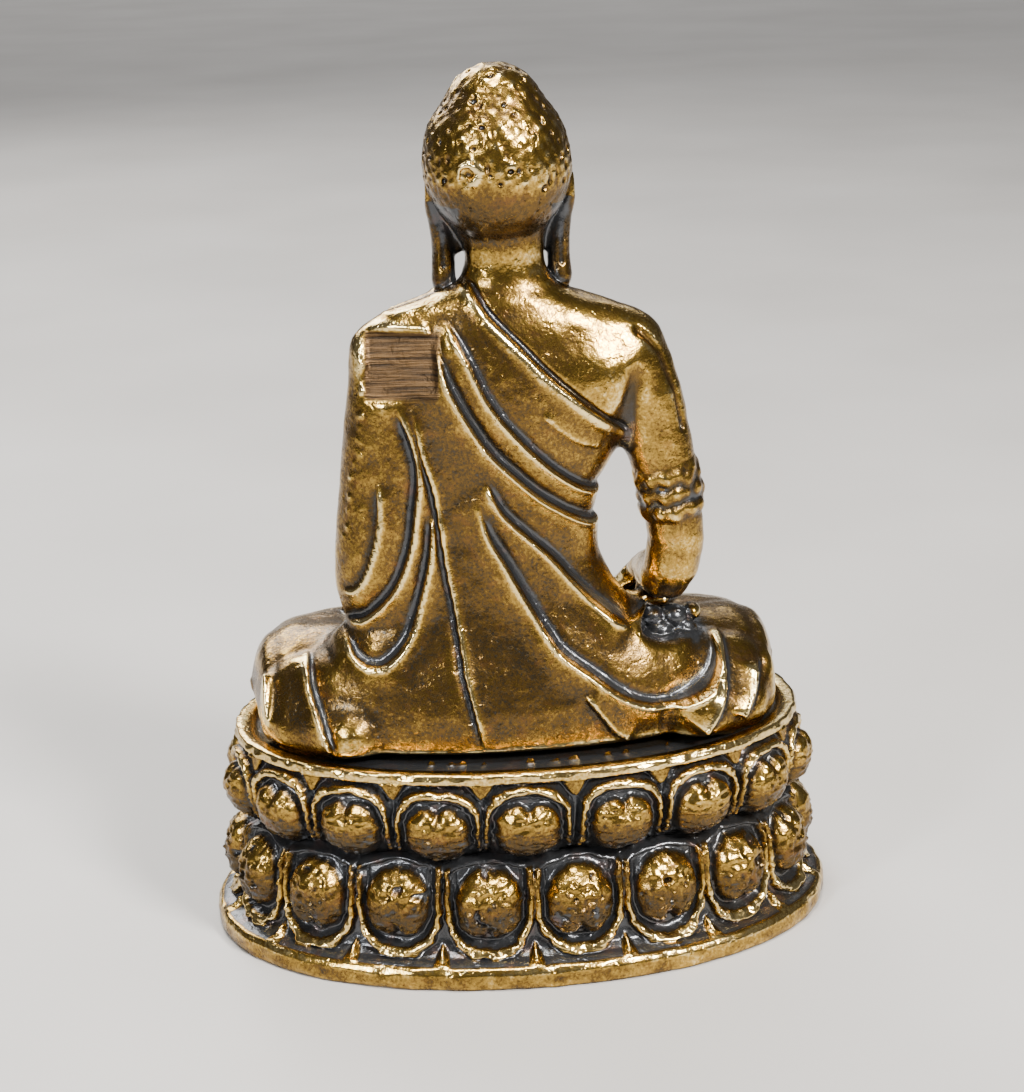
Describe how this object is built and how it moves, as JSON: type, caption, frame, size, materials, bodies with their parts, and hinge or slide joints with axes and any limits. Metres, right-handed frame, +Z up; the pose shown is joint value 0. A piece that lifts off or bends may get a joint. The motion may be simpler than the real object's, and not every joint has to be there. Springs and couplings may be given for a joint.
{
  "type": "seated buddha statue",
  "caption": "Small cast brass seated Buddha on a double lotus throne, right hand reaching down to the throne, left hand in the lap.",
  "frame": {"origin": "centre of the throne's underside, on the surface that the statue stands on", "axes": "+Z up, the figure faces -Y, +X towards the figure's own left hand"},
  "size_m": [0.0354, 0.0234, 0.048],
  "materials": {
    "antique_brass": "cast brass with dark patina in the hollows, rubbed bright on what stands out",
    "plain_brass": "dull brass, as filed"
  },
  "bodies": {
    "root": {"base_plate": "plain_brass", "lower_lotus": "antique_brass", "upper_lotus": "antique_brass", "seat_pins": "plain_brass", "crossed_legs": "antique_brass", "robe_fan": "antique_brass", "robed_torso": "antique_brass", "left_arm": "antique_brass", "left_hand": "antique_brass", "right_arm": "antique_brass", "right_armlet": "antique_brass", "right_hand": "antique_brass", "shoulder_pins": "plain_brass", "neck_pin": "plain_brass", "head": "antique_brass", "left_ear": "antique_brass", "right_ear": "antique_brass"}
  },
  "joints": []
}
